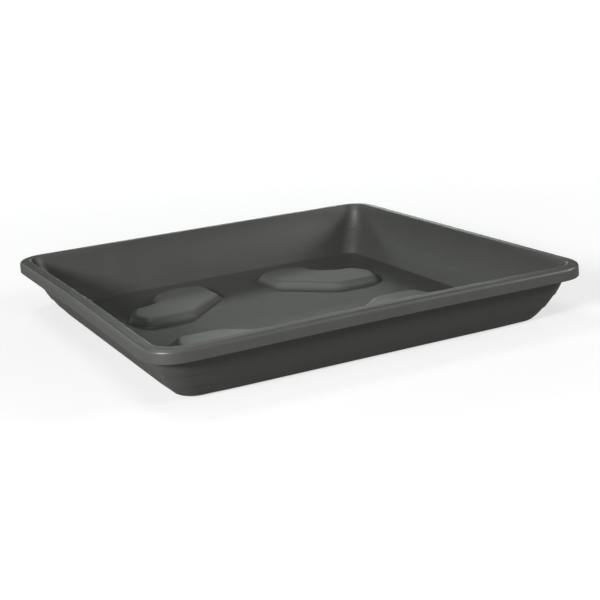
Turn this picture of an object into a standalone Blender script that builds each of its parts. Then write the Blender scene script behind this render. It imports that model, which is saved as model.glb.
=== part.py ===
"""Square plant saucer: one thin moulded tray with a hooked rim and four raised, hollow feet.

Metres, +Z up. The origin is the middle of the flat base, on the surface that the saucer stands on.
"""
from math import atan2, ceil, cos, hypot, pi, radians, sin, sqrt, tan

import bmesh
import bpy

# The tray over all
RIM_HALF = 0.200            # middle to the outer face of the rim
HEIGHT = 0.051              # ground to the inner edge of the rim, at the corners
WALL = 0.0022               # floor, walls and feet
WALL_LEAN = 0.023           # how far the inner wall comes in from rim to floor
WALL_BOW = 0.0037           # how far the wall curves out of its straight line, half way up
FLOOR_CORNER = 0.0158       # corner radius of the floor
EDGE_CORNER = 0.0180        # corner radius of the rim's inner edge
FLOOR_FILLET = 0.0020       # inside, between floor and wall
HEEL_RADIUS = 0.0085        # outside, between base and wall

# The rim: a flat band with a skirt that hangs down outside it
RIM_WIDTH = 0.0100          # inner edge to outer face
BAND_FALL = 0.0007          # how far the band falls from its inner edge to the outer face
SKIRT_DEPTH = 0.0106        # below the band
SKIRT_WALL = 0.0018
SKIRT_DRAFT = 0.0003        # how much wider the skirt is at its lower edge
CREASE_RADIUS = 0.0040      # between band and skirt
INNER_EDGE_RADIUS = 0.0012
SKIRT_EDGE_RADIUS = 0.0006
UNDER_RIM_RADIUS = 0.0012   # both inner corners of the groove behind the skirt

# Each side is drawn in and lifted a little between its corners, as the moulding cools
SIDE_DRAW = 0.0015
SIDE_LIFT = 0.0006

# The corners stand steeper than the sides and step in at two shoulders that part nested saucers
SHOULDER_HEIGHTS = (0.0140, 0.0250)
SHOULDER_STEP = 0.0009      # how far the corner steps in below each one
SHOULDER_FALL = 0.0009      # the height that the step takes
SHOULDER_REACH = 0.032      # how far it runs out along each side
CORNER_LEAN = 0.075         # how much steeper the corners are, for each unit of height
CORNER_BLEND = 0.006        # the height under the rim in which they come back out to it
FLOOR_TURN = 0.0010         # how far the floor's corners stand in from the corners above
FLOOR_BLEND = 0.007         # and the height above the floor in which that ends

# The raised feet, one in each quarter of the floor
FOOT_HEIGHT = 0.0068        # above the floor
FOOT_CHANNEL = 0.034        # middle line to the straight side of a foot's top
FOOT_CENTRE_GAP = 0.080     # middle of the tray to the slanted side, along the diagonal
FOOT_MARGIN = 0.0390        # floor edge to the widest place of a foot's top
FOOT_NOSE = 0.008           # how far that place stands out beyond the corner at the channel
FOOT_TIP_BACK = 0.0105      # and beyond the tip beside the bite
BITE_INSET = 0.0515         # floor edge to the middle of the round bite
BITE_RADIUS = 0.0344
FOOT_INNER_ROUND = 0.014    # rounding of the corners that look to the middle
FOOT_OUTER_ROUND = 0.008
FOOT_NOSE_ROUND = 0.015
FOOT_TIP_ROUND = 0.0075
FLANK_LEAN = radians(45)    # slope of a foot's sides from the floor
FOOT_TOP_ROUND = 0.0050     # between the top and the sides

# How finely round stretches are divided
CORNER_STEPS = 7
REACH_STEPS = 3
SIDE_STEPS = 4
WALL_LEVELS = 4
BITE_STEPS = 8
ARC_STEP = radians(24)

FLOOR_HALF = RIM_HALF - RIM_WIDTH - WALL_LEAN
EDGE_HALF = RIM_HALF - RIM_WIDTH


def rounded(path, closed=False):
    """The points of a flat path of (x, y, radius) corners, each rounded by an arc of its radius."""
    points = []
    count = len(path)
    for i, (x, y, radius) in enumerate(path):
        at_end = not closed and i in (0, count - 1)
        if radius == 0 or at_end:
            points.append((x, y))
            continue
        before = path[i - 1]
        after = path[(i + 1) % count]
        back = (before[0] - x, before[1] - y)
        ahead = (after[0] - x, after[1] - y)
        start = atan2(back[1], back[0])
        turn = (atan2(ahead[1], ahead[0]) - start) % (2 * pi)
        opening = turn if turn < pi else 2 * pi - turn
        side = 1 if turn < pi else -1
        room = 0.49 * min(hypot(*back), hypot(*ahead))
        reach = min(radius / tan(opening / 2), room)
        radius = reach * tan(opening / 2)
        middle = start + side * opening / 2
        away = hypot(reach, radius)
        centre = (x + away * cos(middle), y + away * sin(middle))
        sweep = pi - opening
        steps = max(1, ceil(sweep / ARC_STEP))
        first = start - side * pi / 2
        for k in range(steps + 1):
            angle = first - side * sweep * k / steps
            points.append((centre[0] + radius * cos(angle), centre[1] + radius * sin(angle)))
    return points


def wall_share(z):
    """How far up the inner wall the height z lies, from 0 at the floor to 1 at the rim's edge."""
    return min(1, max(0, (z - WALL) / (HEIGHT - WALL)))


def inner_half(z):
    """Middle of the tray to its inner wall at height z."""
    share = wall_share(z)
    return FLOOR_HALF + WALL_LEAN * share + 4 * WALL_BOW * share * (1 - share)


def wall_slope(z):
    """How far the inner wall goes outwards for each unit of height, at height z."""
    share = wall_share(z)
    return (WALL_LEAN + 4 * WALL_BOW * (1 - 2 * share)) / (HEIGHT - WALL)


def corner_radius(half, z):
    """Corner radius of a ring: the inner wall's own, and concentric with it for what lies outside."""
    inner = FLOOR_CORNER + (EDGE_CORNER - FLOOR_CORNER) * wall_share(z)
    return inner + half - inner_half(z)


def corner_inset(z):
    """How far the corner stands in from its plain round at height z on the inner wall."""
    inset = CORNER_LEAN * (z - WALL) + FLOOR_TURN * max(0, 1 - (z - WALL) / FLOOR_BLEND) ** 2
    for top in SHOULDER_HEIGHTS:
        inset -= SHOULDER_STEP * min(1, max(0, (z - top + SHOULDER_FALL) / SHOULDER_FALL))
    return inset * min(1, (HEIGHT - z) / CORNER_BLEND)


def wall_heights():
    """Heights of the wall's rings from the lowest up, with a pair at each shoulder."""
    low = 2 * WALL + FLOOR_FILLET
    high = HEIGHT - INNER_EDGE_RADIUS - SKIRT_DEPTH / 3
    heights = [low + (high - low) * k / WALL_LEVELS for k in range(WALL_LEVELS + 1)]
    clear = (high - low) / WALL_LEVELS / 3
    for top in SHOULDER_HEIGHTS:
        heights = [z for z in heights if abs(z - top + SHOULDER_FALL / 2) > clear]
        heights += [top, top - SHOULDER_FALL]
    return sorted(heights)


def ring(half, z, at):
    """One closed rounded square at height z; at is the height on the inner wall that it belongs to."""
    radius = corner_radius(half, at)
    inset = corner_inset(at)
    share = wall_share(z)
    straight = half - radius
    reach = min(SHOULDER_REACH, 0.8 * straight)
    runs = [reach * k / REACH_STEPS for k in range(REACH_STEPS)]
    runs += [reach + 2 * (straight - reach) * k / SIDE_STEPS for k in range(SIDE_STEPS)]
    runs += [2 * straight - reach * (REACH_STEPS - k) / REACH_STEPS for k in range(REACH_STEPS)]
    quarter = []
    for k in range(CORNER_STEPS):
        angle = pi / 2 * k / CORNER_STEPS
        hold = radius - inset
        quarter.append((straight + hold * cos(angle), straight + hold * sin(angle), z))
    for run in runs:
        along = 1 - run / straight
        near = min(run, 2 * straight - run) / reach
        fade = 0.5 + 0.5 * cos(pi * min(1, near))
        hollow = share * (1 - along ** 2) ** 2
        out = half - inset * fade - SIDE_DRAW * hollow
        quarter.append((straight * along, out, z + SIDE_LIFT * hollow))
    points = []
    for turn in range(4):
        c, s = (1, 0, -1, 0)[turn], (0, 1, 0, -1)[turn]
        points += [(c * x - s * y, s * x + c * y, height) for x, y, height in quarter]
    return points


def tray_rings():
    """Every ring of the tray: under the base, up outside, over the rim, and down to the floor."""
    heights = wall_heights()
    inside = [(inner_half(z), z, z) for z in heights]
    outside = []
    for z in heights:
        slope = wall_slope(z)
        length = sqrt(1 + slope ** 2)
        outside.append((inner_half(z) + WALL / length, z - WALL * slope / length, z))

    lean = atan2(1, wall_slope(WALL))
    heel = FLOOR_HALF + WALL * tan(lean / 2)
    rows = [(half, z, WALL) for half, z in
            rounded([(0, 0, 0), (heel, 0, HEEL_RADIUS), (outside[0][0], outside[0][1], 0)])[1:-1]]
    rows += outside

    under = HEIGHT - BAND_FALL - WALL
    low = HEIGHT - BAND_FALL - SKIRT_DEPTH
    neck = EDGE_HALF + WALL
    groove = RIM_HALF - SKIRT_WALL
    rim = rounded([
        (outside[-1][0], outside[-1][1], 0),
        (neck, under, UNDER_RIM_RADIUS),
        (groove - SKIRT_DRAFT, under, UNDER_RIM_RADIUS),
        (groove, low, SKIRT_EDGE_RADIUS),
        (RIM_HALF, low, SKIRT_EDGE_RADIUS),
        (RIM_HALF - SKIRT_DRAFT, HEIGHT - BAND_FALL, CREASE_RADIUS),
        (EDGE_HALF, HEIGHT, INNER_EDGE_RADIUS),
        (inside[-1][0], inside[-1][1], 0),
    ])[1:-1]
    rows += [(half, z, HEIGHT) for half, z in rim]
    rows += inside[::-1]

    floor = rounded([(inside[0][0], inside[0][1], 0), (FLOOR_HALF, WALL, FLOOR_FILLET), (0, WALL, 0)])[1:-1]
    rows += [(half, z, WALL) for half, z in floor]
    return [ring(*row) for row in rows]


def foot_outline():
    """Points of a foot's top edge in the quarter where X and Y are positive, anticlockwise."""
    centre = FLOOR_HALF - BITE_INSET
    widest = FLOOR_HALF - FOOT_MARGIN
    tip_x = widest - FOOT_TIP_BACK
    tip_y = centre - sqrt(BITE_RADIUS ** 2 - (tip_x - centre) ** 2)
    half = [
        (FOOT_CENTRE_GAP * sqrt(2) - FOOT_CHANNEL, FOOT_CHANNEL, FOOT_INNER_ROUND),
        (widest - FOOT_NOSE, FOOT_CHANNEL, FOOT_OUTER_ROUND),
        (widest, (FOOT_CHANNEL + tip_y) / 2, FOOT_NOSE_ROUND),
        (tip_x, tip_y, FOOT_TIP_ROUND),
    ]
    first = atan2(tip_y - centre, tip_x - centre)
    sweep = 2 * (first + 3 * pi / 4)
    bite = []
    for k in range(1, BITE_STEPS):
        angle = first - sweep * k / BITE_STEPS
        bite.append((centre + BITE_RADIUS * cos(angle), centre + BITE_RADIUS * sin(angle), 0))
    mirrored = [(y, x, radius) for x, y, radius in reversed(half)]
    return rounded(half + bite + mirrored, closed=True)


def grown(outline, distance):
    """The outline moved outwards by a distance, point by point along its normals."""
    moved = []
    count = len(outline)
    for i, (x, y) in enumerate(outline):
        before = outline[i - 1]
        after = outline[(i + 1) % count]
        along = (after[0] - before[0], after[1] - before[1])
        length = hypot(*along)
        moved.append((x + distance * along[1] / length, y - distance * along[0] / length))
    return moved


def foot_rings(drop, shrink, below, top_round):
    """Rings of a foot from below the floor to its top, lowered and drawn in by the given amounts."""
    run = FOOT_HEIGHT / tan(FLANK_LEAN)
    flank = rounded([
        (run + (below / tan(FLANK_LEAN)), -below, 0),
        (0, FOOT_HEIGHT, top_round),
        (-run, FOOT_HEIGHT, 0),
    ])[:-1]
    outline = foot_outline()
    rings = []
    for distance, rise in flank:
        z = WALL + rise - drop
        rings.append([(x, y, z) for x, y in grown(outline, distance - shrink)])
    return rings


def loft(name, rings, collection):
    """A closed solid through rings of as many points each, with its two ends filled."""
    shape = bmesh.new()
    rows = [[shape.verts.new(point) for point in points] for points in rings]
    count = len(rows[0])
    for lower, upper in zip(rows, rows[1:]):
        for i in range(count):
            j = (i + 1) % count
            shape.faces.new((lower[i], lower[j], upper[j], upper[i]))
    shape.faces.new(reversed(rows[0]))
    shape.faces.new(rows[-1])
    bmesh.ops.recalc_face_normals(shape, faces=shape.faces)
    mesh = bpy.data.meshes.new(name)
    shape.to_mesh(mesh)
    shape.free()
    solid = bpy.data.objects.new(name, mesh)
    collection.objects.link(solid)
    return solid


def combine(solid, other, operation):
    """Adds a live Boolean of another solid, which is then shown as a guide only."""
    cut = solid.modifiers.new(other.name, "BOOLEAN")
    cut.operation = operation
    cut.solver = "EXACT"
    cut.object = other
    other.display_type = "WIRE"
    other.hide_render = True


def anthracite():
    """Matt dark grey polypropylene."""
    material = bpy.data.materials.new("anthracite_polypropylene")
    material.use_nodes = True
    shader = material.node_tree.nodes["Principled BSDF"]
    shader.inputs["Base Color"].default_value = (0.050, 0.054, 0.050, 1)
    shader.inputs["Roughness"].default_value = 0.5
    shader.inputs["Metallic"].default_value = 0
    return material


def make_saucer():
    """The whole saucer: the lofted tray, joined with its four feet and hollowed under them."""
    for item in list(bpy.data.objects):
        bpy.data.objects.remove(item)
    product = bpy.data.collections.new("square_plant_saucer")
    guides = bpy.data.collections.new("guides")
    for collection in (product, guides):
        bpy.context.scene.collection.children.link(collection)

    tray = loft("saucer_tray", tray_rings(), product)
    hollow_shrink = WALL / sin(FLANK_LEAN) - WALL / tan(FLANK_LEAN)
    solid_rings = foot_rings(drop=0, shrink=0, below=WALL / 2, top_round=FOOT_TOP_ROUND)
    hollow_rings = foot_rings(drop=WALL, shrink=hollow_shrink, below=WALL / 2,
                              top_round=FOOT_TOP_ROUND - WALL)
    for quarter in range(4):
        foot = loft(f"foot_{quarter + 1}", solid_rings, guides)
        foot.rotation_euler.z = quarter * pi / 2
        combine(tray, foot, "UNION")
    for quarter in range(4):
        hollow = loft(f"foot_hollow_{quarter + 1}", hollow_rings, guides)
        hollow.rotation_euler.z = quarter * pi / 2
        combine(tray, hollow, "DIFFERENCE")

    tray.data.materials.append(anthracite())
    tray.data.shade_smooth()
    tray.data.set_sharp_from_angle(angle=radians(30))


make_saucer()
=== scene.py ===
"""Looks of the square plant saucer.

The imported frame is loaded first. One moulded shell, modelled here with its fillets and the
hollows under its feet, then stands for the frame's tray. Metres, +Z up, the middle of the flat
base at the origin.
"""
import logging
from dataclasses import dataclass, field
from enum import Enum
from math import atan2, ceil, cos, degrees, hypot, pi, radians, sin, sqrt, tan

import bmesh
import bpy
from mathutils import Matrix, Vector


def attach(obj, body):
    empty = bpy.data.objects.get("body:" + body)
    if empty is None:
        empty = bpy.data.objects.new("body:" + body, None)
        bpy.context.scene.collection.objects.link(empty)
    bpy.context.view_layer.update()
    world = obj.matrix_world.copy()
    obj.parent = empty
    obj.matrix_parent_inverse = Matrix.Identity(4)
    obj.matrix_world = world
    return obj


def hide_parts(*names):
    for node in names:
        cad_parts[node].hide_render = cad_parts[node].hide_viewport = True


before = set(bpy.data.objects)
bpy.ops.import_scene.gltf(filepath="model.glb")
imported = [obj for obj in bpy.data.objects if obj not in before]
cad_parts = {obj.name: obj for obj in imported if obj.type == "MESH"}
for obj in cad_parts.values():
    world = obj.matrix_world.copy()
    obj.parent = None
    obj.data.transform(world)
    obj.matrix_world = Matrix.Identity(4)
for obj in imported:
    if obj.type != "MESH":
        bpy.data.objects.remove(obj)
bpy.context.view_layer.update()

LOG = logging.getLogger("saucer")

Point = tuple[float, float]
Colour = tuple[float, float, float]
Feed = float | bpy.types.NodeSocket

# How close two places, two levels and a level face have to be to count as such.
SAME_PLACE = 1e-6
SAME_LEVEL = 1e-4
LEVEL_DIGITS = 6
LYING_FLAT = 0.99
# The weight from which a vertex is in a loop, and the turns that are rounded or shaded sharp.
IN_LOOP = 0.5
ROUNDED_TURN = radians(18)
SHARP_TURN = radians(32)
# The most that a rounding may take of the shorter side beside its corner.
MOST_OF_SIDE = 0.49
# The noise values over which the clouds and the flow marks come up.
CLOUD_SPAN = (0.3, 0.7)
MARK_SPAN = (0.56, 0.70)
# The height where the flow marks are weakest, and what is left of them there.
MARK_TOP = 0.046
MARK_LEFT = 0.25
# The widths over which the masks of the rim's painted light and of the painted highlight on its
# outer edge come up.
RIM_FADE = 0.0015
HIGHLIGHT_FADE = 0.002
# The slight green cast of the light from above and behind.
GREENISH: Colour = (0.91, 1.00, 0.95)


class Loop(Enum):
    """The edge loops of the shell that are rounded, each named by its vertex group."""

    CREASE = "crease"
    INNER_EDGE = "inner_edge"
    SKIRT_EDGE = "skirt_edge"
    FLOOR_LINE = "floor_line"
    FOOT_TOP = "foot_top"
    FOOT_BASE = "foot_base"


class Side(Enum):
    """The two skins of the shell: the one that the mould shows above, and the one beneath."""

    UPPER = "upper"
    UNDER = "under"


def rounded(path: list[tuple[float, float, float]], step: float) -> list[Point]:
    """Rounds the corners of a closed flat path.

    Args:
        path: The corners as (x, y, radius).
        step: The largest angle between two points of a rounded corner, in radians.

    Returns:
        The points of the rounded path, in the same order.
    """
    points: list[Point] = []
    count = len(path)
    for i, (x, y, radius) in enumerate(path):
        if radius == 0:
            points.append((x, y))
            continue
        before, after = path[i - 1], path[(i + 1) % count]
        back = (before[0] - x, before[1] - y)
        ahead = (after[0] - x, after[1] - y)
        start = atan2(back[1], back[0])
        turn = (atan2(ahead[1], ahead[0]) - start) % (2 * pi)
        opening = turn if turn < pi else 2 * pi - turn
        side = 1 if turn < pi else -1
        reach = min(radius / tan(opening / 2), MOST_OF_SIDE * min(hypot(*back), hypot(*ahead)))
        radius = reach * tan(opening / 2)
        away = hypot(reach, radius)
        middle = start + side * opening / 2
        centre = (x + away * cos(middle), y + away * sin(middle))
        sweep = pi - opening
        steps = max(1, ceil(sweep / step))
        first = start - side * pi / 2
        for k in range(steps + 1):
            angle = first - side * sweep * k / steps
            points.append((centre[0] + radius * cos(angle), centre[1] + radius * sin(angle)))
    return points


def grown(outline: list[Point], distance: float) -> list[Point]:
    """Moves a closed outline outwards.

    Args:
        outline: The points, anticlockwise.
        distance: How far each point goes along its normal.

    Returns:
        The moved points.
    """
    moved: list[Point] = []
    count = len(outline)
    for i, (x, y) in enumerate(outline):
        before, after = outline[i - 1], outline[(i + 1) % count]
        along = (after[0] - before[0], after[1] - before[1])
        length = hypot(*along)
        moved.append((x + distance * along[1] / length, y - distance * along[0] / length))
    return moved


def even_spacing(outline: list[Point], spacing: float) -> list[Point]:
    """Divides the long stretches of a closed outline.

    Args:
        outline: The points.
        spacing: The longest stretch that stays whole.

    Returns:
        The points with others put between them where they are far apart.
    """
    points: list[Point] = []
    for i, (x, y) in enumerate(outline):
        after = outline[(i + 1) % len(outline)]
        pieces = max(1, ceil(hypot(after[0] - x, after[1] - y) / spacing))
        for k in range(pieces):
            points.append((x + (after[0] - x) * k / pieces, y + (after[1] - y) * k / pieces))
    return points


def choose(mesh: bmesh.types.BMesh, elements: list) -> None:
    """Selects only these vertices, edges or faces of the mesh in edit mode.

    Args:
        mesh: The edit mesh that the elements belong to.
        elements: What is selected.
    """
    for kind in (mesh.faces, mesh.edges, mesh.verts):
        for element in kind:
            element.select_set(False)
    for element in elements:
        element.select_set(True)


def ring_from(start: bmesh.types.BMVert) -> list[bmesh.types.BMVert]:
    """Walks round a ring of selected edges.

    Args:
        start: The vertex that the walk starts at.

    Returns:
        The ring's vertices in order.
    """
    found = [start]
    edge = None
    while True:
        ahead = [e for e in found[-1].link_edges if e.select and e is not edge]
        if len(found) == 1:
            ahead = sorted(ahead, key=lambda e: e.other_vert(start).index)
        edge = ahead[0]
        vertex = edge.other_vert(found[-1])
        if vertex is start:
            return found
        found.append(vertex)


def forget_loops(obj: bpy.types.Object) -> None:
    """Takes the selected vertices out of every loop's vertex group."""
    if obj.vertex_groups:
        bpy.ops.object.vertex_group_remove_from(use_all_groups=True)


def name_loop(obj: bpy.types.Object, loop: Loop) -> None:
    """Puts the selected vertices into the vertex group of a loop, and into no other.

    Args:
        obj: The object in edit mode.
        loop: The loop that they belong to.
    """
    forget_loops(obj)
    group = obj.vertex_groups.get(loop.value) or obj.vertex_groups.new(name=loop.value)
    obj.vertex_groups.active_index = group.index
    bpy.context.tool_settings.vertex_group_weight = 1.0
    bpy.ops.object.vertex_group_assign()


@dataclass(frozen=True)
class TrayForm:
    """Sizes of the tray and the curves that follow from them.

    A half is half a width. The inner wall leans out by wall_lean from the floor to the edge, and
    bows out by wall_bow halfway up. The sides draw in by side_draw and lift by side_lift at the
    middle of the rim. Going up a corner, the wall steps out by shoulder_step at each of the
    shoulder_heights, over shoulder_fall and in shoulder_rings rings. The steps fade out along
    the sides over shoulder_reach, or over shoulder_most of half the side where that is less.
    """

    rim_half: float = 0.200
    height: float = 0.051
    wall: float = 0.0022
    wall_lean: float = 0.023
    wall_bow: float = 0.0037
    floor_corner: float = 0.0158
    edge_corner: float = 0.0180
    rim_width: float = 0.0100
    band_fall: float = 0.0007
    skirt_depth: float = 0.0106
    skirt_wall: float = 0.0018
    skirt_draft: float = 0.0003
    side_draw: float = 0.0015
    side_lift: float = 0.0006
    shoulder_heights: tuple[float, float] = (0.0140, 0.0250)
    shoulder_step: float = 0.0009
    shoulder_fall: float = 0.0009
    shoulder_rings: int = 4
    shoulder_reach: float = 0.032
    shoulder_most: float = 0.8
    corner_lean: float = 0.075
    corner_blend: float = 0.006
    floor_turn: float = 0.0010
    floor_blend: float = 0.007
    first_level: float = 0.0064
    last_level: float = 0.0463
    level_spacing: float = 0.0026

    @property
    def edge_half(self) -> float:
        """Middle of the tray to the rim's inner edge."""
        return self.rim_half - self.rim_width

    @property
    def floor_half(self) -> float:
        """Middle of the tray to the foot of its inner wall."""
        return self.edge_half - self.wall_lean

    def share(self, z: float) -> float:
        """How far up the inner wall a height lies, from 0 at the floor to 1 at the edge."""
        return min(1.0, max(0.0, (z - self.wall) / (self.height - self.wall)))

    def inner_half(self, z: float) -> float:
        """Middle of the tray to its inner wall at a height."""
        share = self.share(z)
        return self.floor_half + self.wall_lean * share + 4 * self.wall_bow * share * (1 - share)

    def corner_radius(self, half: float, at: float) -> float:
        """Corner radius of a ring: the inner wall's own, and concentric with it further out.

        Args:
            half: Half the ring's width.
            at: The height on the inner wall that the ring belongs to.

        Returns:
            The radius in metres.
        """
        inner = self.floor_corner + (self.edge_corner - self.floor_corner) * self.share(at)
        return inner + half - self.inner_half(at)

    def corner_inset(self, at: float) -> float:
        """Finds how far a corner stands in from its plain round.

        Args:
            at: The height on the inner wall that the ring belongs to.

        Returns:
            The inset in metres.
        """
        up = at - self.wall
        inset = self.corner_lean * up + self.floor_turn * max(0.0, 1 - up / self.floor_blend) ** 2
        for top in self.shoulder_heights:
            share = min(1.0, max(0.0, (at - top + self.shoulder_fall) / self.shoulder_fall))
            inset -= self.shoulder_step * share * share * (3 - 2 * share)
        return inset * min(1.0, (self.height - at) / self.corner_blend)

    def levels(self) -> list[float]:
        """Lists the heights of the wall's rings.

        Returns:
            The heights, from the rim's edge down to the floor.
        """
        span = self.last_level - self.first_level
        count = round(span / self.level_spacing)
        plain = [self.first_level + span * k / count for k in range(count + 1)]
        steps = [top - self.shoulder_fall * k / self.shoulder_rings
                 for top in self.shoulder_heights for k in range(self.shoulder_rings + 1)]
        clear = self.level_spacing / 3
        plain = [z for z in plain if all(abs(z - s) > clear for s in steps)]
        return [self.height] + sorted(plain + steps, reverse=True) + [self.wall]


@dataclass(frozen=True)
class FootForm:
    """Sizes of a raised foot, given on its top, in the quarter where X and Y are positive.

    The top ends at channel from the axes, and at a slanted edge that is centre_gap from the
    middle. A side comes nearest to the wall halfway along, at margin from its foot. It stands
    back by nose where it meets the channel, and by tip_back at its tip beside the round bite.
    The skirt is the flat margin round the base that the foot is modelled with.
    """

    tray: TrayForm = field(default_factory=TrayForm)
    height: float = 0.0068
    channel: float = 0.034
    centre_gap: float = 0.080
    margin: float = 0.0390
    nose: float = 0.008
    tip_back: float = 0.0105
    bite_inset: float = 0.0515
    bite_radius: float = 0.0344
    inner_round: float = 0.014
    outer_round: float = 0.008
    nose_round: float = 0.015
    tip_round: float = 0.0075
    skirt: float = 0.0045
    step: float = radians(9)
    spacing: float = 0.004

    def outline(self) -> list[Point]:
        """Draws the edge of the top.

        Returns:
            Its points, anticlockwise.
        """
        centre = self.tray.floor_half - self.bite_inset
        widest = self.tray.floor_half - self.margin
        tip_x = widest - self.tip_back
        tip_y = centre - sqrt(self.bite_radius ** 2 - (tip_x - centre) ** 2)
        half = [
            (self.centre_gap * sqrt(2) - self.channel, self.channel, self.inner_round),
            (widest - self.nose, self.channel, self.outer_round),
            (widest, (self.channel + tip_y) / 2, self.nose_round),
            (tip_x, tip_y, self.tip_round),
        ]
        first = atan2(tip_y - centre, tip_x - centre)
        sweep = 2 * (first + 3 * pi / 4)
        count = ceil(sweep / self.step)
        bite = []
        for k in range(1, count):
            angle = first - sweep * k / count
            x = centre + self.bite_radius * cos(angle)
            y = centre + self.bite_radius * sin(angle)
            bite.append((x, y, 0.0))
        mirrored = [(y, x, radius) for x, y, radius in reversed(half)]
        return even_spacing(rounded(half + bite + mirrored, self.step), self.spacing)


@dataclass(frozen=True)
class Fillet:
    """One rounding of the shell: its edge loop, the skin (None is both), radius and faces."""

    loop: Loop
    side: Side | None
    radius: float
    segments: int


FOOT_TOP_RADIUS = 0.0080
FILLETS = (
    Fillet(Loop.CREASE, Side.UPPER, 0.0030, 10),
    Fillet(Loop.CREASE, Side.UNDER, 0.0012, 4),
    Fillet(Loop.INNER_EDGE, Side.UPPER, 0.0012, 6),
    Fillet(Loop.INNER_EDGE, Side.UNDER, 0.0012, 3),
    Fillet(Loop.SKIRT_EDGE, None, 0.0006, 3),
    Fillet(Loop.FLOOR_LINE, Side.UPPER, 0.0020, 5),
    Fillet(Loop.FLOOR_LINE, Side.UNDER, 0.0070, 9),
    Fillet(Loop.FOOT_TOP, Side.UPPER, FOOT_TOP_RADIUS, 8),
    Fillet(Loop.FOOT_TOP, Side.UNDER, FOOT_TOP_RADIUS - TrayForm.wall, 5),
    Fillet(Loop.FOOT_BASE, Side.UPPER, 0.0025, 5),
    Fillet(Loop.FOOT_BASE, Side.UNDER, 0.0020, 3),
)


def add_node(tree: bpy.types.NodeTree, kind: str, values: dict[str | int, object] | None = None,
             **settings: object) -> bpy.types.Node:
    """Adds a node and feeds its inputs.

    Args:
        tree: The node tree that it goes into.
        kind: The node's type.
        values: For each input, by name or number, a value or the socket that is linked to it.
        **settings: The node's own properties.

    Returns:
        The new node.
    """
    node = tree.nodes.new(kind)
    for key, value in settings.items():
        setattr(node, key, value)
    for key, value in (values or {}).items():
        if isinstance(value, bpy.types.NodeSocket):
            tree.links.new(value, node.inputs[key])
        else:
            node.inputs[key].default_value = value
    return node


def maths(tree: bpy.types.NodeTree, operation: str, *values: Feed) -> bpy.types.NodeSocket:
    """Adds a Math node.

    Args:
        tree: The node tree that it goes into.
        operation: The node's operation.
        *values: What its inputs take, in order.

    Returns:
        The socket of the result.
    """
    node = add_node(tree, "ShaderNodeMath", dict(enumerate(values)), operation=operation)
    return node.outputs[0]


def ramp(tree: bpy.types.NodeTree, value: Feed, span: tuple[Feed, Feed],
         onto: tuple[Feed, Feed] = (0.0, 1.0), soft: bool = False) -> bpy.types.NodeSocket:
    """Adds a Map Range node.

    Args:
        tree: The node tree that it goes into.
        value: The value that is mapped.
        span: Where the ramp starts and ends.
        onto: The results at its start and end.
        soft: Whether the ramp eases in and out.

    Returns:
        The socket of the result.
    """
    node = add_node(tree, "ShaderNodeMapRange",
                    {"Value": value, "From Min": span[0], "From Max": span[1],
                     "To Min": onto[0], "To Max": onto[1]},
                    interpolation_type="SMOOTHSTEP" if soft else "LINEAR")
    return node.outputs["Result"]


def noise(tree: bpy.types.NodeTree, place: bpy.types.NodeSocket, scale: Feed, detail: float,
          roughness: float, distortion: float = 0.0) -> bpy.types.NodeSocket:
    """Adds a Noise Texture node.

    Args:
        tree: The node tree that it goes into.
        place: The coordinates that it reads.
        scale: How many waves it has in a metre.
        detail: How many finer layers it has.
        roughness: How strong the finer layers are.
        distortion: How far it is warped.

    Returns:
        The socket of its value.
    """
    node = add_node(tree, "ShaderNodeTexNoise",
                    {"Vector": place, "Scale": scale, "Detail": detail,
                     "Roughness": roughness, "Distortion": distortion})
    return node.outputs["Fac"]


def object_place(tree: bpy.types.NodeTree) -> bpy.types.NodeSocket:
    """The socket of the place on the object, in metres."""
    return add_node(tree, "ShaderNodeTexCoord").outputs["Object"]


def from_middle(tree: bpy.types.NodeTree) -> list[bpy.types.NodeSocket]:
    """The sockets of the distances from the object's middle along X, Y and Z."""
    size = add_node(tree, "ShaderNodeVectorMath", {0: object_place(tree)}, operation="ABSOLUTE")
    return list(add_node(tree, "ShaderNodeSeparateXYZ", {0: size.outputs[0]}).outputs)


def new_group(name: str, inputs: tuple[str, ...], outputs: tuple[str, ...]) -> bpy.types.NodeTree:
    """Starts a shader node group.

    Args:
        name: The group's name.
        inputs: The input sockets. One called "Colour" takes a colour, the others a number.
        outputs: The output sockets, in the same way.

    Returns:
        The group with its sockets and a group input node called "in".
    """
    tree = bpy.data.node_groups.new(name, "ShaderNodeTree")
    for direction, labels in (("INPUT", inputs), ("OUTPUT", outputs)):
        for label in labels:
            kind = "NodeSocketColor" if label == "Colour" else "NodeSocketFloat"
            tree.interface.new_socket(label, in_out=direction, socket_type=kind)
    add_node(tree, "NodeGroupInput", name="in")
    return tree


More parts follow.
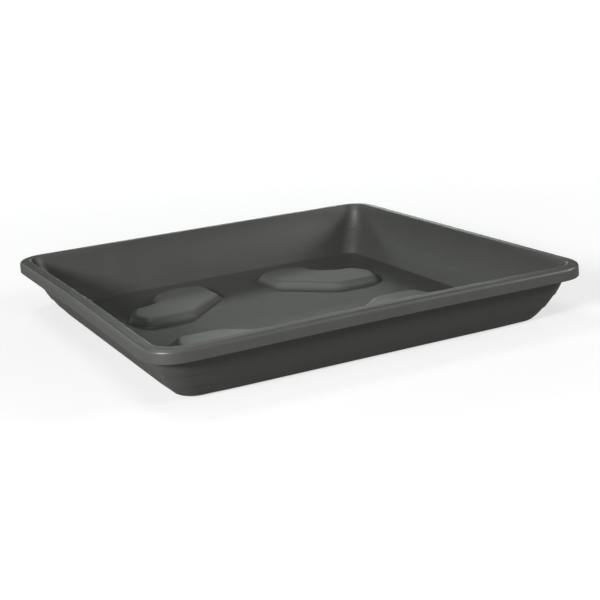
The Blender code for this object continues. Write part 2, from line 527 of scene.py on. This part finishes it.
class Effect(Enum):
    """The surface effects, each a shader node group that is made once and shared."""

    DRIFT = "tone_drift"
    GRAIN = "moulded_grain"
    FLOW = "flow_marks"
    HANDLED = "painted_light_parts"

    def group(self) -> bpy.types.NodeTree:
        """Finds the effect's node group, or makes it at its first use.

        Returns:
            The shared group.
        """
        makers = {Effect.DRIFT: self._make_drift, Effect.GRAIN: self._make_grain,
                  Effect.FLOW: self._make_flow, Effect.HANDLED: self._make_handled}
        return bpy.data.node_groups.get(self.value) or makers[self]()

    def place(self, tree: bpy.types.NodeTree, **values: object) -> bpy.types.Node:
        """Places the effect in a material.

        Args:
            tree: The material's node tree.
            **values: The group's inputs, with underscores for spaces.

        Returns:
            The group node.
        """
        fed = {key.replace("_", " "): value for key, value in values.items()}
        return add_node(tree, "ShaderNodeGroup", fed, node_tree=self.group())

    def _make_drift(self) -> bpy.types.NodeTree:
        """Makes a colour that drifts lighter and darker in soft clouds, and their mask.

        Returns:
            The node group.
        """
        tree = new_group(self.value, ("Colour", "Scale", "Spread"), ("Colour", "Mask"))
        given = tree.nodes["in"].outputs
        clouds = noise(tree, object_place(tree), given["Scale"], detail=4.0, roughness=0.55)
        mask = ramp(tree, clouds, CLOUD_SPAN)
        signed = ramp(tree, mask, (0.0, 1.0), (-1.0, 1.0))
        factor = maths(tree, "MULTIPLY_ADD", signed, given["Spread"], 1.0)
        tinted = add_node(tree, "ShaderNodeVectorMath", {0: given["Colour"], "Scale": factor},
                          operation="SCALE")
        add_node(tree, "NodeGroupOutput", {"Colour": tinted.outputs[0], "Mask": mask})
        return tree

    def _make_grain(self) -> bpy.types.NodeTree:
        """Makes the fine even grain of the mould's skin, over long shallow waves of the wall.

        Returns:
            The node group.
        """
        tree = new_group(self.value, ("Grain Scale", "Wave Scale", "Wave Share"), ("Height",))
        given = tree.nodes["in"].outputs
        place = object_place(tree)
        grain = noise(tree, place, given["Grain Scale"], detail=2.0, roughness=0.6)
        wave = noise(tree, place, given["Wave Scale"], detail=1.0, roughness=0.4)
        height = maths(tree, "MULTIPLY_ADD", wave, given["Wave Share"], grain)
        add_node(tree, "NodeGroupOutput", {"Height": height})
        return tree

    def _make_flow(self) -> bpy.types.NodeTree:
        """Makes short level dashes on the walls, where the melt ran round the mould.

        Returns:
            The node group.
        """
        tree = new_group(self.value, ("Run Scale", "Rise Scale", "Low", "High"), ("Mask",))
        given = tree.nodes["in"].outputs
        place = object_place(tree)
        stretch = add_node(tree, "ShaderNodeCombineXYZ",
                           {"X": given["Run Scale"], "Y": given["Run Scale"],
                            "Z": given["Rise Scale"]})
        drawn = add_node(tree, "ShaderNodeVectorMath", {0: place, 1: stretch.outputs[0]},
                         operation="MULTIPLY")
        marks = noise(tree, drawn.outputs[0], 1.0, detail=2.0, roughness=0.5, distortion=0.2)
        sharp = ramp(tree, marks, MARK_SPAN, soft=True)
        up = add_node(tree, "ShaderNodeSeparateXYZ", {0: place}).outputs["Z"]
        above = ramp(tree, up, (given["Low"], given["High"]), soft=True)
        fading = ramp(tree, up, (given["High"], MARK_TOP), (1.0, MARK_LEFT))
        band = maths(tree, "MULTIPLY", above, fading)
        add_node(tree, "NodeGroupOutput", {"Mask": maths(tree, "MULTIPLY", band, sharp)})
        return tree

    def _make_handled(self) -> bpy.types.NodeTree:
        """Makes the masks of painted light: the feet and the rim lighter, and a painted highlight
        on the rim's outer edge.

        Returns:
            The node group.
        """
        tree = new_group(self.value,
                         ("Foot Low", "Foot High", "Foot Reach", "Edge Centre", "Edge Radius",
                          "Rub Radius", "Rub Low"),
                         ("Feet Light", "Rim Light", "Edge Highlight"))
        given = tree.nodes["in"].outputs
        x, y, z = from_middle(tree)
        # Feet Light: painted light, the feet lighter than the plain plastic.
        rise = ramp(tree, z, (given["Foot Low"], given["Foot High"]), soft=True)
        inside = maths(tree, "LESS_THAN", maths(tree, "MAXIMUM", x, y), given["Foot Reach"])
        past = [maths(tree, "MAXIMUM", maths(tree, "SUBTRACT", way, given["Edge Centre"]), 0.0)
                for way in (x, y)]
        corner = add_node(tree, "ShaderNodeCombineXYZ", {"X": past[0], "Y": past[1]})
        reach = add_node(tree, "ShaderNodeVectorMath", {0: corner.outputs[0]},
                         operation="LENGTH").outputs["Value"]
        # Rim Light: painted light, the rim band lighter.
        start = maths(tree, "SUBTRACT", given["Edge Radius"], RIM_FADE)
        rim = ramp(tree, reach, (start, given["Edge Radius"]), soft=True)
        # Edge Highlight: a painted highlight along the rim's outer edge, which also lowers the
        # roughness there.
        outer, upper = [
            ramp(tree, value, (given[low], maths(tree, "ADD", given[low], HIGHLIGHT_FADE)), soft=True)
            for value, low in ((reach, "Rub Radius"), (z, "Rub Low"))]
        add_node(tree, "NodeGroupOutput",
                 {"Feet Light": maths(tree, "MULTIPLY", rise, inside), "Rim Light": rim,
                  "Edge Highlight": maths(tree, "MULTIPLY", outer, upper)})
        return tree


@dataclass(frozen=True)
class PlasticFinish:
    """Anthracite moulded polypropylene with a satin skin.

    Each tone is what a mask adds to the colour's brightness, as a share of it. The tones of the
    feet and of the rim are painted light, and the tone of the rim's outer edge is a painted
    highlight.
    The roughnesses after the first are what a mask adds to it.
    """

    name: str = "anthracite_polypropylene"
    colour: Colour = (0.0588, 0.0595, 0.0547)
    spread: float = 0.05
    mark_tone: float = 0.14
    # Painted light: the feet's and the rim's tones; painted highlight: the outer edge's tone.
    foot_painted_light: float = 0.64
    rim_painted_light: float = 0.22
    edge_painted_highlight: float = 0.30
    roughness: float = 0.45
    drift_roughness: float = 0.05
    mark_roughness: float = -0.05
    edge_highlight_roughness: float = -0.12
    refraction: float = 1.49
    grain_strength: float = 0.6
    grain_depth: float = 0.00003

    def material(self) -> bpy.types.Material:
        """Builds the material.

        Returns:
            The material, toned by clouds and flow marks, with painted light on the feet and the
            rim and a painted highlight on the rim's outer edge.
        """
        material = bpy.data.materials.new(self.name)
        material.use_nodes = True
        tree = material.node_tree
        shader = tree.nodes["Principled BSDF"]
        shader.inputs["IOR"].default_value = self.refraction
        drift = Effect.DRIFT.place(tree, Colour=(*self.colour, 1), Scale=26.0, Spread=self.spread)
        marks = Effect.FLOW.place(tree, Run_Scale=55.0, Rise_Scale=720.0, Low=0.0100, High=0.0150)
        painted_light = Effect.HANDLED.place(tree, Foot_Low=0.0030, Foot_High=0.0050,
                                       Foot_Reach=0.145, Edge_Centre=0.172,
                                       Edge_Radius=0.0178, Rub_Radius=0.0240, Rub_Low=0.0468)
        # Painted light: the feet and the rim lighter, and a painted highlight on the rim's outer
        # edge.
        tone = self._sum(tree, 1.0, (marks.outputs["Mask"], self.mark_tone),
                         (painted_light.outputs["Feet Light"], self.foot_painted_light),
                         (painted_light.outputs["Rim Light"], self.rim_painted_light),
                         (painted_light.outputs["Edge Highlight"], self.edge_painted_highlight))
        colour = add_node(tree, "ShaderNodeVectorMath",
                          {0: drift.outputs["Colour"], "Scale": tone}, operation="SCALE")
        tree.links.new(colour.outputs[0], shader.inputs["Base Color"])
        rough = self._sum(tree, self.roughness, (drift.outputs["Mask"], self.drift_roughness),
                          (marks.outputs["Mask"], self.mark_roughness),
                          (painted_light.outputs["Edge Highlight"], self.edge_highlight_roughness))
        tree.links.new(rough, shader.inputs["Roughness"])
        grain = Effect.GRAIN.place(tree, Grain_Scale=1300.0, Wave_Scale=24.0, Wave_Share=6.0)
        bump = add_node(tree, "ShaderNodeBump",
                        {"Height": grain.outputs["Height"], "Strength": self.grain_strength,
                         "Distance": self.grain_depth})
        tree.links.new(bump.outputs["Normal"], shader.inputs["Normal"])
        return material

    @staticmethod
    def _sum(tree: bpy.types.NodeTree, start: float,
             *parts: tuple[bpy.types.NodeSocket, float]) -> bpy.types.NodeSocket:
        """Adds weighted masks to a number.

        Args:
            tree: The material's node tree.
            start: The number that holds where every mask is 0.
            *parts: Each mask with its weight.

        Returns:
            The socket of the sum.
        """
        total: Feed = start
        for mask, weight in parts:
            total = maths(tree, "MULTIPLY_ADD", mask, weight, total)
        return total


@dataclass
class SaucerShell:
    """The one moulded shell: floor, flared walls, hooked rim and four hollow feet."""

    tray: TrayForm = field(default_factory=TrayForm)
    foot: FootForm = field(default_factory=FootForm)
    fillets: tuple[Fillet, ...] = FILLETS
    finish: PlasticFinish = field(default_factory=PlasticFinish)
    name: str = "saucer_shell"
    corner_segments: int = 14
    side_cuts: int = 63
    floor_margin: float = 0.005
    obj: bpy.types.Object | None = None

    def build(self) -> bpy.types.Object:
        """Models the shell.

        Returns:
            The finished mesh object, at the origin.
        """
        self._lay_out_rim()
        self._draw_wall()
        self._hang_skirt()
        self._form_rings()
        self._open_floor()
        self._set_feet()
        self._give_thickness()
        self._round_edges()
        self._smooth()
        return self.obj

    def dress(self) -> None:
        """Gives the shell its finish and its place in the frame."""
        self.obj.data.materials.clear()
        self.obj.data.materials.append(self.finish.material())
        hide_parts("saucer_tray")
        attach(self.obj, "root")

    def _edit(self) -> bmesh.types.BMesh:
        """Opens the shell's edit mesh.

        Returns:
            The mesh, with its tables up to date.
        """
        mesh = bmesh.from_edit_mesh(self.obj.data)
        mesh.verts.ensure_lookup_table()
        mesh.edges.ensure_lookup_table()
        mesh.faces.ensure_lookup_table()
        return mesh

    def _lay_out_rim(self) -> None:
        """Lays out a rounded square face as wide as the rim, and insets the band from it."""
        tray = self.tray
        half = tray.rim_half - tray.skirt_draft
        low = tray.height - tray.band_fall
        bpy.ops.object.select_all(action="DESELECT")
        bpy.ops.mesh.primitive_plane_add(size=2 * half, location=(0, 0, low))
        self.obj = bpy.context.active_object
        self.obj.name = self.name
        self.obj.data.name = self.name
        bpy.ops.object.transform_apply(location=True, rotation=True, scale=True)
        bpy.ops.object.mode_set(mode="EDIT")
        bpy.ops.mesh.select_mode(type="VERT")
        bpy.ops.mesh.select_all(action="SELECT")
        bpy.ops.mesh.delete(type="ONLY_FACE")
        bpy.ops.mesh.select_all(action="SELECT")
        radius = tray.corner_radius(half, tray.height)
        bpy.ops.mesh.bevel(offset=radius, segments=self.corner_segments, profile=0.5,
                           affect="VERTICES")
        bpy.ops.mesh.select_mode(type="EDGE")
        mesh = self._edit()
        choose(mesh, [edge for edge in mesh.edges if edge.calc_length() > half])
        bmesh.update_edit_mesh(self.obj.data)
        bpy.ops.mesh.subdivide(number_cuts=self.side_cuts)
        bpy.ops.mesh.select_all(action="SELECT")
        bpy.ops.mesh.edge_face_add()
        bpy.ops.mesh.select_mode(type="FACE")
        bpy.ops.mesh.select_all(action="SELECT")
        mesh = self._edit()
        if mesh.faces[0].normal.z < 0:
            bpy.ops.mesh.flip_normals()
        name_loop(self.obj, Loop.CREASE)
        bpy.ops.mesh.inset(thickness=half - tray.edge_half, depth=tray.band_fall)
        name_loop(self.obj, Loop.INNER_EDGE)

    def _draw_wall(self) -> None:
        """Draws the inner face down ring by ring, narrower towards the floor."""
        levels = self.tray.levels()
        for upper, lower in zip(levels, levels[1:]):
            bpy.ops.mesh.extrude_region_move(
                TRANSFORM_OT_translate={"value": (0, 0, lower - upper)})
            ratio = self.tray.inner_half(lower) / self.tray.inner_half(upper)
            bpy.ops.transform.resize(value=(ratio, ratio, 1), center_override=(0, 0, 0))
            forget_loops(self.obj)
        name_loop(self.obj, Loop.FLOOR_LINE)

    def _hang_skirt(self) -> None:
        """Draws the rim's outer edge down into the skirt."""
        tray = self.tray
        bpy.ops.mesh.select_mode(type="EDGE")
        mesh = self._edit()
        choose(mesh, [edge for edge in mesh.edges if edge.is_boundary])
        bmesh.update_edit_mesh(self.obj.data)
        bpy.ops.mesh.extrude_region_move(
            TRANSFORM_OT_translate={"value": (0, 0, -tray.skirt_depth)})
        ratio = tray.rim_half / (tray.rim_half - tray.skirt_draft)
        bpy.ops.transform.resize(value=(ratio, ratio, 1), center_override=(0, 0, 0))
        name_loop(self.obj, Loop.SKIRT_EDGE)

    def _form_rings(self) -> None:
        """Gives each ring its true corners, its shoulders and the draw of its long sides."""
        tray = self.tray
        low = tray.height - tray.band_fall
        skirt_low = low - tray.skirt_depth
        rows = {round(z, LEVEL_DIGITS): (tray.inner_half(z), z) for z in tray.levels()}
        rows[round(low, LEVEL_DIGITS)] = (tray.rim_half - tray.skirt_draft, tray.height)
        rows[round(skirt_low, LEVEL_DIGITS)] = (tray.rim_half, tray.height)
        mesh = self._edit()
        for vertex in mesh.verts:
            half, at = rows[round(vertex.co.z, LEVEL_DIGITS)]
            vertex.co = self._formed(vertex.co, half, at)
        mesh.normal_update()
        bmesh.update_edit_mesh(self.obj.data)

    def _formed(self, place: Vector, half: float, at: float) -> Vector:
        """Finds where a vertex of a plain ring stands in the moulding.

        The plain ring's corner begins at "plain" from the middle. The corner and the side are
        spread anew over the true ring, whose corner begins at "straight".

        Args:
            place: Its place in the plain ring.
            half: Half the ring's width.
            at: The height on the inner wall that the ring belongs to.

        Returns:
            Its true place.
        """
        tray = self.tray
        plain = half - half * tray.edge_corner / tray.edge_half
        if at == tray.height:
            plain = (tray.edge_half - tray.edge_corner) * half / (
                half if half < tray.rim_half else tray.rim_half - tray.skirt_draft)
        radius = tray.corner_radius(half, at)
        straight = half - radius
        inset = tray.corner_inset(at)
        sign = Vector((1 if place.x >= 0 else -1, 1 if place.y >= 0 else -1))
        x, y = abs(place.x), abs(place.y)
        if min(x, y) >= plain - SAME_PLACE:
            angle = atan2(max(0.0, y - plain), max(0.0, x - plain))
            x = straight + (radius - inset) * cos(angle)
            y = straight + (radius - inset) * sin(angle)
            return Vector((sign.x * x, sign.y * y, place.z))
        along = min(x, y) / plain
        reach = min(tray.shoulder_reach, tray.shoulder_most * straight)
        near = straight * (1 - along) / reach
        fade = 0.5 + 0.5 * cos(pi * min(1.0, near))
        hollow = tray.share(place.z) * (1 - along ** 2) ** 2
        out = half - inset * fade - tray.side_draw * hollow
        if x > y:
            x, y = out, straight * along
        else:
            x, y = straight * along, out
        return Vector((sign.x * x, sign.y * y, place.z + tray.side_lift * hollow))

    def _open_floor(self) -> None:
        """Insets a narrow margin along the wall, and takes out the floor inside it."""
        bpy.ops.mesh.select_mode(type="FACE")
        mesh = self._edit()
        choose(mesh, [face for face in mesh.faces if face.normal.z > LYING_FLAT
                      and self._on_floor(face.calc_center_median())])
        bmesh.update_edit_mesh(self.obj.data)
        bpy.ops.mesh.inset(thickness=self.floor_margin, depth=0)
        forget_loops(self.obj)
        bpy.ops.mesh.delete(type="ONLY_FACE")
        bpy.ops.object.mode_set(mode="OBJECT")

    def _on_floor(self, place: Vector) -> bool:
        """Whether a place lies at the height of the tray's floor."""
        return abs(place.z - self.tray.wall) < SAME_LEVEL

    def _model_foot(self) -> bpy.types.Object:
        """Models one raised foot with a flat margin round it.

        Returns:
            The foot, in the quarter where X and Y are positive.
        """
        form = self.foot
        outline = form.outline()
        rings = (
            (form.height + form.skirt, self.tray.wall, None),
            (form.height, self.tray.wall, Loop.FOOT_BASE),
            (0.0, self.tray.wall + form.height, Loop.FOOT_TOP),
        )
        bpy.ops.object.select_all(action="DESELECT")
        bpy.ops.mesh.primitive_circle_add(vertices=len(outline), radius=1, location=(0, 0, 0))
        foot = bpy.context.active_object
        foot.name = "foot"
        bpy.ops.object.mode_set(mode="EDIT")
        bpy.ops.mesh.select_mode(type="EDGE")
        bpy.ops.mesh.select_all(action="SELECT")
        for row, (distance, z, loop) in enumerate(rings):
            if row:
                bpy.ops.mesh.extrude_region_move()
            mesh = bmesh.from_edit_mesh(foot.data)
            start = min((v for v in mesh.verts if v.select), key=lambda v: v.index)
            for vertex, (x, y) in zip(ring_from(start), grown(outline, distance)):
                vertex.co = (x, y, z)
            bmesh.update_edit_mesh(foot.data)
            if loop:
                name_loop(foot, loop)
        bpy.ops.mesh.edge_face_add()
        bpy.ops.mesh.select_all(action="SELECT")
        bpy.ops.mesh.normals_make_consistent(inside=False)
        mesh = bmesh.from_edit_mesh(foot.data)
        if max(mesh.faces, key=lambda face: face.calc_area()).normal.z < 0:
            bpy.ops.mesh.flip_normals()
        bpy.ops.object.mode_set(mode="OBJECT")
        return foot

    def _set_feet(self) -> None:
        """Copies the foot into each quarter, and fills the floor round the four."""
        foot = self._model_foot()
        for turn in range(1, 4):
            other = foot.copy()
            other.data = foot.data.copy()
            bpy.context.collection.objects.link(other)
            other.data.transform(Matrix.Rotation(turn * pi / 2, 4, "Z"))
            other.select_set(True)
        foot.select_set(True)
        self.obj.select_set(True)
        bpy.context.view_layer.objects.active = self.obj
        bpy.ops.object.join()
        bpy.ops.object.mode_set(mode="EDIT")
        bpy.ops.mesh.select_mode(type="EDGE")
        mesh = self._edit()
        choose(mesh, [edge for edge in mesh.edges
                      if edge.is_boundary and self._on_floor(edge.verts[0].co)])
        bmesh.update_edit_mesh(self.obj.data)
        bpy.ops.mesh.fill(use_beauty=True)
        bpy.ops.mesh.select_mode(type="FACE")
        mesh = self._edit()
        choose(mesh, [face for face in mesh.faces if face.normal.z < -LYING_FLAT
                      and self._on_floor(face.calc_center_median())])
        bmesh.update_edit_mesh(self.obj.data)
        bpy.ops.mesh.flip_normals()
        bpy.ops.object.mode_set(mode="OBJECT")

    def _give_thickness(self) -> None:
        """Gives the skin the wall's thickness, a little less in the skirt."""
        group = self.obj.vertex_groups.new(name="thickness")
        low = self.obj.vertex_groups[Loop.SKIRT_EDGE.value].index
        for vertex in self.obj.data.vertices:
            thin = any(g.group == low and g.weight > 0 for g in vertex.groups)
            share = self.tray.skirt_wall / self.tray.wall if thin else 1.0
            group.add([vertex.index], share, "REPLACE")
        solid = self.obj.modifiers.new("wall", "SOLIDIFY")
        solid.thickness = self.tray.wall
        solid.offset = -1
        solid.use_even_offset = True
        solid.use_quality_normals = True
        solid.vertex_group = group.name
        bpy.ops.object.modifier_apply(modifier=solid.name)

    def _round(self, fillet: Fillet) -> None:
        """Rounds one edge loop of the shell.

        Args:
            fillet: The loop, the skin that it lies on, and the rounding that it gets.
        """
        mesh = self._edit()
        weights = mesh.verts.layers.deform.verify()
        group = self.obj.vertex_groups[fillet.loop.value].index
        limit = {
            Loop.CREASE: self.tray.height - self.tray.band_fall - self.tray.wall / 2,
            Loop.INNER_EDGE: self.tray.height - self.tray.wall / 2,
            Loop.FLOOR_LINE: self.tray.wall / 2,
            Loop.FOOT_BASE: self.tray.wall / 2,
            Loop.FOOT_TOP: self.foot.height + self.tray.wall / 2,
            Loop.SKIRT_EDGE: 0.0,
        }[fillet.loop]
        edges = []
        for edge in mesh.edges:
            if not all(vertex[weights].get(group, 0) > IN_LOOP for vertex in edge.verts):
                continue
            upper = min(vertex.co.z for vertex in edge.verts) > limit
            if fillet.side is not None and upper != (fillet.side is Side.UPPER):
                continue
            if edge.calc_face_angle(0) > ROUNDED_TURN:
                edges.append(edge)
        turn = sum(edge.calc_face_angle() for edge in edges) / len(edges)
        choose(mesh, edges)
        bmesh.update_edit_mesh(self.obj.data)
        bpy.ops.mesh.bevel(offset=fillet.radius * tan(turn / 2), segments=fillet.segments,
                           profile=0.5, affect="EDGES", clamp_overlap=False)
        LOG.info("rounded %s %s: %d edges, turn %.1f degrees", fillet.loop.value,
                 fillet.side.value if fillet.side else "both", len(edges), degrees(turn))

    def _round_edges(self) -> None:
        """Rounds every edge, on the upper skin and beneath it."""
        bpy.ops.object.mode_set(mode="EDIT")
        bpy.ops.mesh.select_mode(type="EDGE")
        for fillet in self.fillets:
            self._round(fillet)
        bpy.ops.object.mode_set(mode="OBJECT")

    def _smooth(self) -> None:
        """Shades the shell smooth and keeps its flats flat."""
        self.obj.vertex_groups.clear()
        bpy.ops.object.shade_smooth_by_angle(angle=SHARP_TURN)
        weighted = self.obj.modifiers.new("normals", "WEIGHTED_NORMAL")
        weighted.keep_sharp = True
        bpy.ops.object.modifier_apply(modifier=weighted.name)


@dataclass(frozen=True)
class FloorFinish:
    """Matt white paper that glows a little towards the camera, and is clear from beneath.

    The glow goes from glow_near to glow_far between the two distances of glow_span from the
    saucer's middle. Below the saucer, as far as covered_half each way, it is at least glow_under.
    """

    name: str = "white_paper"
    colour: Colour = (0.450, 0.450, 0.447)
    spread: float = 0.01
    roughness: float = 0.9
    gloss: float = 0.1
    glow_span: tuple[float, float] = (0.3, 2.2)
    glow_near: float = 0.60
    glow_far: float = 1.0
    glow_under: float = 0.40
    covered_half: float = 0.158

    def material(self) -> bpy.types.Material:
        """Builds the material.

        Returns:
            The material. Its glow is only seen by the camera, but for the part that the
            saucer covers, which lights the underside for a look from beneath.
        """
        material = bpy.data.materials.new(self.name)
        material.use_nodes = True
        tree = material.node_tree
        paper = tree.nodes["Principled BSDF"]
        paper.inputs["Roughness"].default_value = self.roughness
        paper.inputs["Specular IOR Level"].default_value = self.gloss
        drift = Effect.DRIFT.place(tree, Colour=(*self.colour, 1), Scale=3.0, Spread=self.spread)
        tree.links.new(drift.outputs["Colour"], paper.inputs["Base Color"])
        away = add_node(tree, "ShaderNodeVectorMath", {0: object_place(tree)},
                        operation="LENGTH").outputs["Value"]
        far = ramp(tree, away, self.glow_span, (self.glow_near, self.glow_far))
        path = add_node(tree, "ShaderNodeLightPath")
        seen = maths(tree, "MULTIPLY", far, path.outputs["Is Camera Ray"])
        x, y, _ = from_middle(tree)
        covered = maths(tree, "LESS_THAN", maths(tree, "MAXIMUM", x, y), self.covered_half)
        hidden = maths(tree, "MULTIPLY", covered, self.glow_under)
        glow = add_node(tree, "ShaderNodeEmission",
                        {"Strength": maths(tree, "MAXIMUM", seen, hidden)})
        both = add_node(tree, "ShaderNodeAddShader",
                        {0: paper.outputs["BSDF"], 1: glow.outputs["Emission"]})
        under = add_node(tree, "ShaderNodeNewGeometry")
        clear = add_node(tree, "ShaderNodeBsdfTransparent")
        sides = add_node(tree, "ShaderNodeMixShader",
                         {0: under.outputs["Backfacing"], 1: both.outputs[0],
                          2: clear.outputs[0]})
        tree.links.new(sides.outputs[0], tree.nodes["Material Output"].inputs["Surface"])
        material.cycles.emission_sampling = "NONE"
        return material


@dataclass
class StudioFloor:
    """The plain pale floor that the saucer stands on."""

    size: float = 60.0
    gap: float = 0.0002
    finish: FloorFinish = field(default_factory=FloorFinish)

    def build(self) -> None:
        """Lays the floor just under the saucer's base."""
        bpy.ops.object.select_all(action="DESELECT")
        bpy.ops.mesh.primitive_plane_add(size=self.size, location=(0, 0, -self.gap))
        floor = bpy.context.active_object
        floor.name = "studio_floor"
        floor.data.materials.append(self.finish.material())


@dataclass(frozen=True)
class SoftBox:
    """A soft rectangular light that faces the saucer.

    The azimuth turns from +X towards +Y. Width and height are the angles that the light fills,
    seen from the saucer, and all angles are in degrees. The radiance is how bright its face is,
    and the tint is the colour of its light.
    """

    name: str
    azimuth: float
    elevation: float
    width: float
    height: float
    radiance: float
    distance: float = 2.0
    tint: Colour = (1, 1, 1)

    def build(self) -> None:
        """Hangs the light, unseen by the camera."""
        turn, rise = radians(self.azimuth), radians(self.elevation)
        out = Vector((cos(rise) * cos(turn), cos(rise) * sin(turn), sin(rise)))
        data = bpy.data.lights.new(self.name, "AREA")
        data.shape = "RECTANGLE"
        data.size = 2 * self.distance * tan(radians(self.width / 2))
        data.size_y = 2 * self.distance * tan(radians(self.height / 2))
        data.energy = pi * data.size * data.size_y * self.radiance
        data.color = self.tint
        lamp = bpy.data.objects.new(self.name, data)
        bpy.context.scene.collection.objects.link(lamp)
        lamp.location = out * self.distance
        lamp.rotation_euler = out.to_track_quat("Z", "Y").to_euler()
        lamp.visible_camera = False


@dataclass
class Studio:
    """Plain soft studio light: boxes on both sides, above and behind, and a dim room.

    The room is how strongly the surroundings light the saucer, and the backdrop is how bright
    they look to the camera.
    """

    room: float = 0.02
    backdrop: float = 0.995
    boxes: tuple[SoftBox, ...] = (
        SoftBox("left", 210, 22, 16, 9, 70.0),
        SoftBox("right", 330, 24, 30, 12, 12.5),
        SoftBox("right_low", 300, 9, 30, 6, 2.8),
        SoftBox("top", 120, 68, 30, 16, 3.8, tint=GREENISH),
        SoftBox("top_front", 255, 72, 30, 16, 1.2),
        SoftBox("rear", 62, 21, 30, 6, 2.85, tint=GREENISH),
        SoftBox("rear_left", 120, 21, 30, 6, 2.75, tint=GREENISH),
        SoftBox("rear_low", 62, 9, 30, 6, 7.4, tint=GREENISH),
    )

    def build(self) -> None:
        """Sets up the world, every soft box and the plain view transform."""
        world = bpy.data.worlds.new("studio")
        world.use_nodes = True
        tree = world.node_tree
        room = tree.nodes["Background"]
        room.inputs["Color"].default_value = (1, 1, 1, 1)
        room.inputs["Strength"].default_value = self.room
        paper = add_node(tree, "ShaderNodeBackground",
                         {"Color": (1, 1, 1, 1), "Strength": self.backdrop})
        path = add_node(tree, "ShaderNodeLightPath")
        seen = add_node(tree, "ShaderNodeMixShader",
                        {0: path.outputs["Is Camera Ray"], 1: room.outputs[0],
                         2: paper.outputs[0]})
        tree.links.new(seen.outputs[0], tree.nodes["World Output"].inputs["Surface"])
        bpy.context.scene.world = world
        bpy.context.scene.view_settings.view_transform = "Standard"
        for box in self.boxes:
            box.build()


@dataclass
class PhotoCamera:
    """The camera at the photograph's viewing angle: its place, axes, lens and sensor width."""

    location: tuple[float, float, float] = (-0.46413, -0.99456, 0.31028)
    right: tuple[float, float, float] = (0.88959, -0.45163, -0.06833)
    up: tuple[float, float, float] = (0.17800, 0.20498, 0.96245)
    back: tuple[float, float, float] = (-0.42067, -0.86834, 0.26273)
    lens: float = 72.98
    sensor: float = 36.0

    def build(self) -> None:
        """Sets the camera up and makes it the scene's own."""
        data = bpy.data.cameras.new("photo_camera")
        data.lens = self.lens
        data.sensor_width = self.sensor
        camera = bpy.data.objects.new("photo_camera", data)
        bpy.context.scene.collection.objects.link(camera)
        place = Matrix.Identity(4)
        for row in range(3):
            place[row][0] = self.right[row]
            place[row][1] = self.up[row]
            place[row][2] = self.back[row]
            place[row][3] = self.location[row]
        camera.matrix_world = place
        bpy.context.scene.camera = camera


def main() -> None:
    """Builds the saucer, the floor, the light and the camera."""
    logging.basicConfig(level=logging.INFO, format="%(message)s")
    shell = SaucerShell()
    piece = shell.build()
    shell.dress()
    LOG.info("%s: %d faces", piece.name, len(piece.data.polygons))
    StudioFloor().build()
    Studio().build()
    PhotoCamera().build()


if __name__ == "__main__":
    main()
